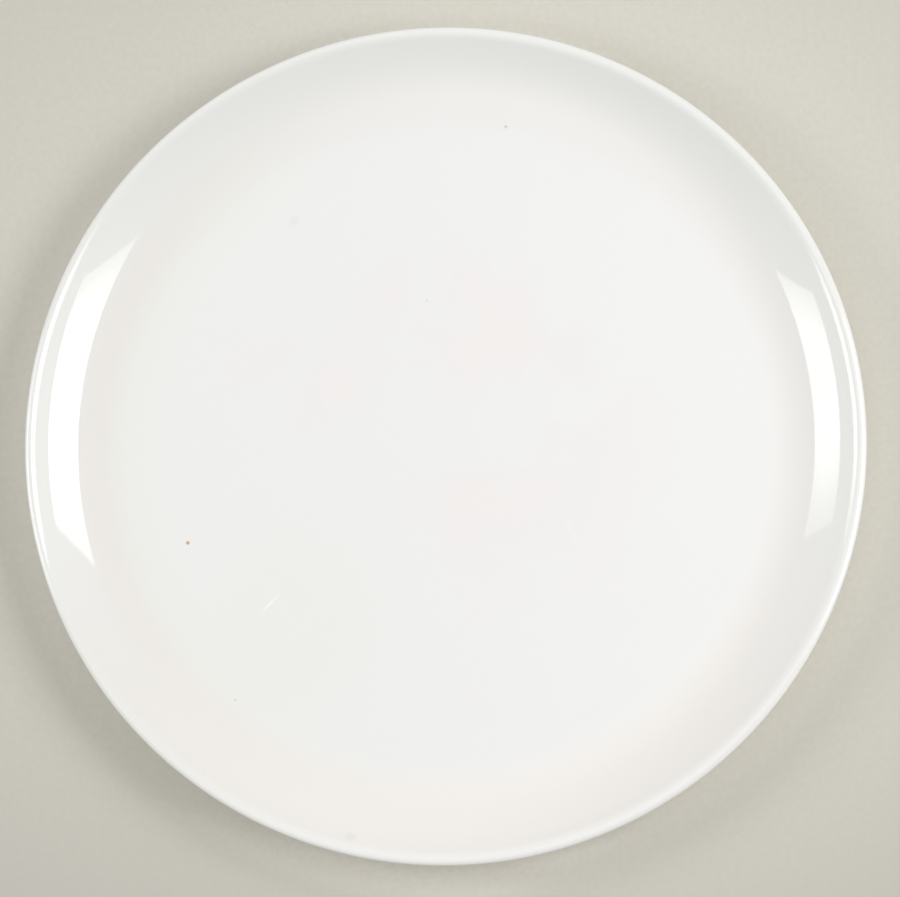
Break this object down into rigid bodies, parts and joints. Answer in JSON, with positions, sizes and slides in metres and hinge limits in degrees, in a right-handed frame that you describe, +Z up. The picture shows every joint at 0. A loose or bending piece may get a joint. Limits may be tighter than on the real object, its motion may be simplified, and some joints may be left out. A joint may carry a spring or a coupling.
{
  "type": "coupe dinner plate",
  "caption": "Round dinner plate whose flat well sweeps up to a thin rounded lip with no ledge, on a low bare foot ring, glazed white.",
  "frame": {"origin": "on the axis of the plate, in the plane that its foot ring stands on", "axes": "+Z up along the axis, out of the well; the plate is round, so X and Y are alike"},
  "size_m": [0.27, 0.27, 0.02],
  "materials": {
    "bare_clay": "fired and unglazed, matt",
    "white_glaze": "smooth gloss"
  },
  "bodies": {
    "root": {"plate_body": "bare_clay", "face_glaze": "white_glaze", "base_glaze": "white_glaze"}
  },
  "joints": []
}
